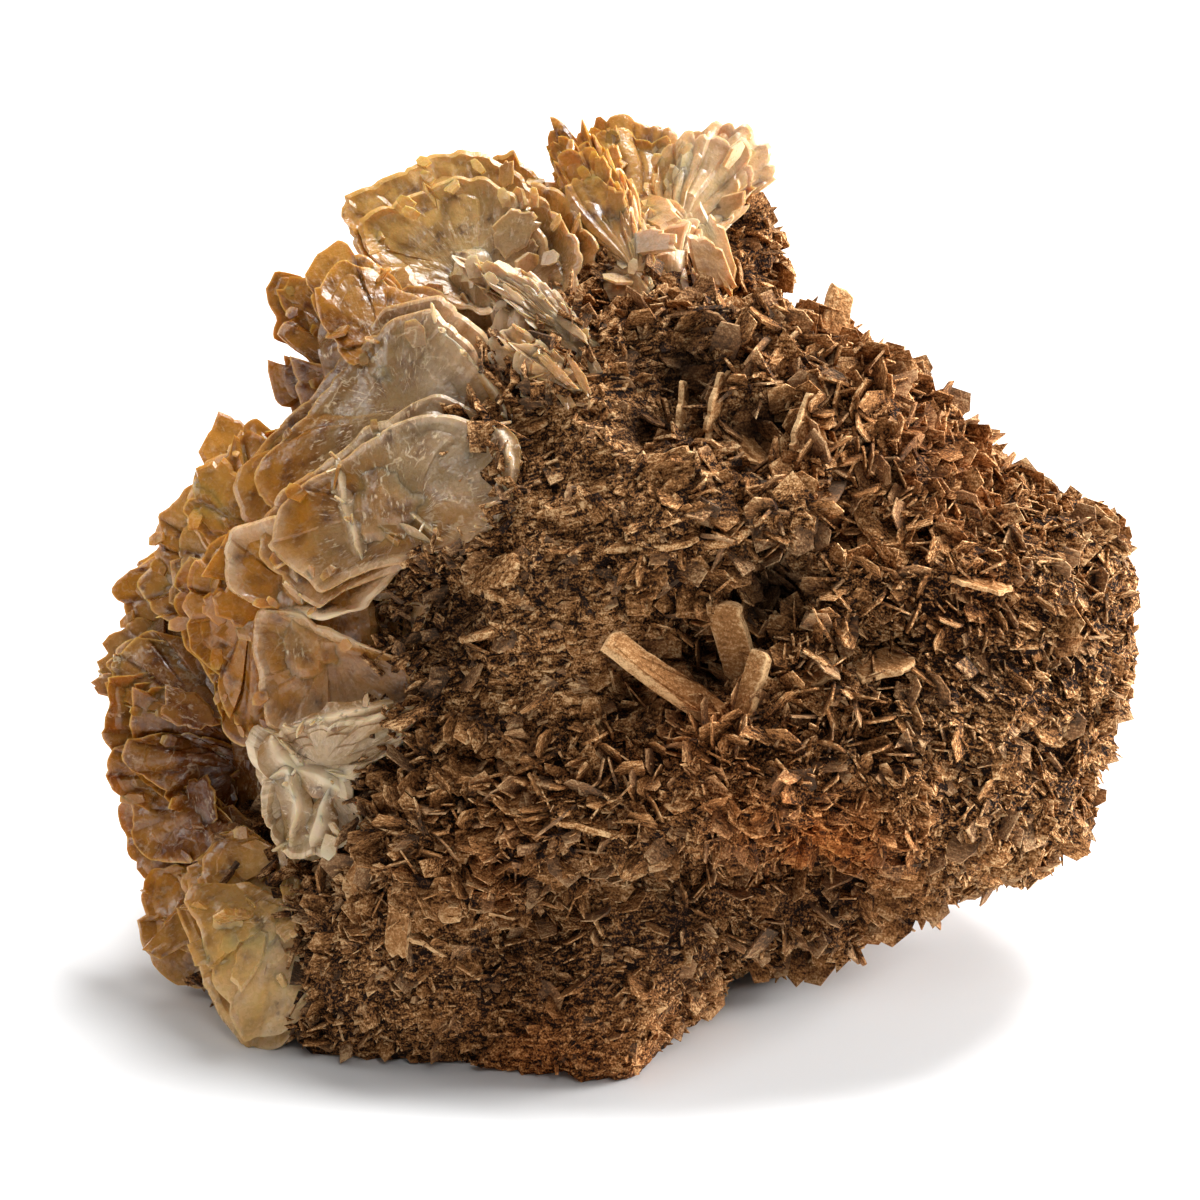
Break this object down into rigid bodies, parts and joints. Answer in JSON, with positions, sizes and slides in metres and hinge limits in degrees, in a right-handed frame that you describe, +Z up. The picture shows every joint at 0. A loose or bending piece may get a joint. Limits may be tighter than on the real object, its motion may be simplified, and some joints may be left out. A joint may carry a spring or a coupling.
{
  "type": "barite specimen",
  "caption": "Hand-sized mineral specimen: fans of crested honey-coloured barite blades on a lump of porous brown bladed matrix",
  "frame": {"origin": "the middle of the specimen's bounding box, on the surface that it rests on", "axes": "+Z up; -Y towards the side that the picture shows; +X to the right as seen there, with the crystals on the -X side"},
  "size_m": [0.1487, 0.1078, 0.1128],
  "materials": {
    "matrix_rock": "rough, porous and granular, dull brown",
    "honey_crystal": "milky translucent honey crystal with a waxy shine",
    "grey_crystal": "milky translucent grey crystal with honey rims",
    "white_crystal": "whitish fractured crystal with frosted rims"
  },
  "bodies": {
    "root": {"matrix": "matrix_rock", "rimmed_blade": "grey_crystal", "long_blade": "grey_crystal", "pocket_blades": "honey_crystal", "white_rim_blades": "white_crystal", "foot_blades": "white_crystal", "sheaf_blade": "white_crystal", "upper_fan": "honey_crystal", "rough_shoulder": "honey_crystal", "left_fans": "honey_crystal", "rounded_crest": "grey_crystal", "top_crest": "honey_crystal", "left_low_fan": "honey_crystal", "left_middle_fan": "honey_crystal", "left_high_fan": "honey_crystal", "crown_fan": "honey_crystal", "back_foot_fan": "honey_crystal", "back_left_fan": "honey_crystal", "back_crown_fan": "honey_crystal", "back_middle_fan": "honey_crystal", "back_low_fan": "honey_crystal"}
  },
  "joints": []
}
